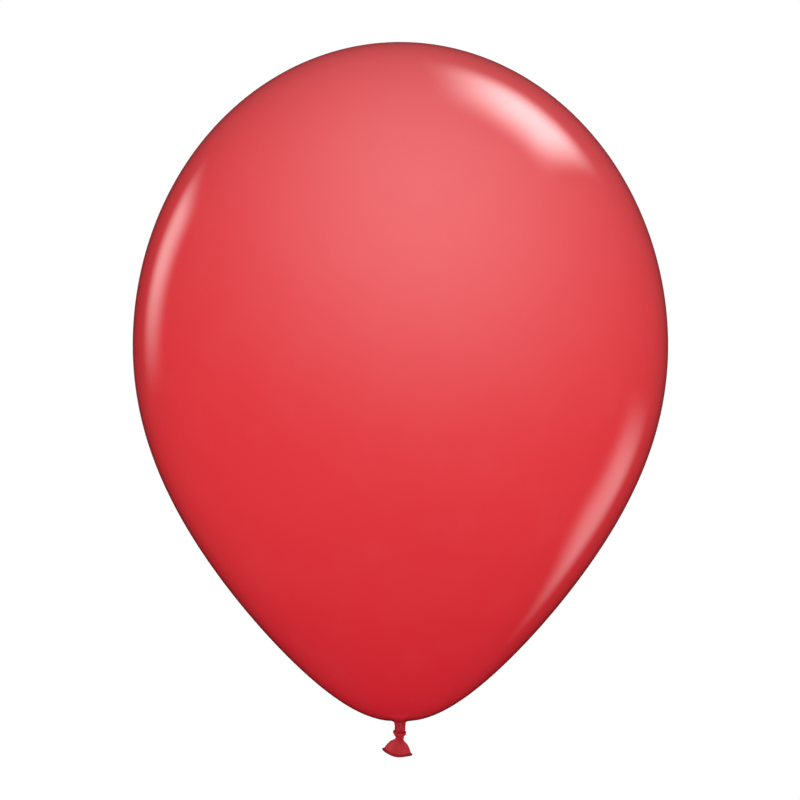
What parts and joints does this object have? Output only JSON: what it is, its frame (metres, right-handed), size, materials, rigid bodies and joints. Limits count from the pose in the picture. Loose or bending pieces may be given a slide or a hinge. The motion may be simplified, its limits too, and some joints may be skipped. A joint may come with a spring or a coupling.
{
  "type": "latex balloon",
  "caption": "Teardrop latex party balloon blown up with air and knotted in its own neck, with a short flared tail and a rolled lip.",
  "frame": {"origin": "centre of the tie groove, the narrowest place of the neck between the envelope and the knot", "axes": "+Z along the neck up to the crown, +X across the flat of the tail, +Y to the back"},
  "size_m": [0.28, 0.28, 0.3742],
  "materials": {
    "stretched_film": "gloss",
    "neck_latex": "satin",
    "rolled_lip": "satin"
  },
  "bodies": {
    "envelope": {"envelope": "stretched_film", "neck_gather": "neck_latex"},
    "neck": {"neck_stem": "neck_latex"},
    "knot": {"knot_strand": "neck_latex", "knot_wrap": "neck_latex"},
    "tail": {"tail_skirt": "neck_latex", "lip_bead": "rolled_lip"}
  },
  "joints": [
    {"name": "neck_bend_side", "type": "hinge", "parent": "envelope", "child": "neck", "pos_m": [0, 0, -0.0013], "axis": [0, 1, 0], "range_deg": [-35, 35], "stiffness_Nm_per_rad": 0.0006},
    {"name": "neck_bend_front", "type": "hinge", "parent": "neck", "child": "knot", "pos_m": [0, 0, -0.0032], "axis": [1, 0, 0], "range_deg": [-35, 35], "stiffness_Nm_per_rad": 0.0006},
    {"name": "tail_flop", "type": "hinge", "parent": "knot", "child": "tail", "pos_m": [0, 0, -0.0072], "axis": [1, 0, 0], "range_deg": [-50, 50], "stiffness_Nm_per_rad": 0.0002}
  ]
}
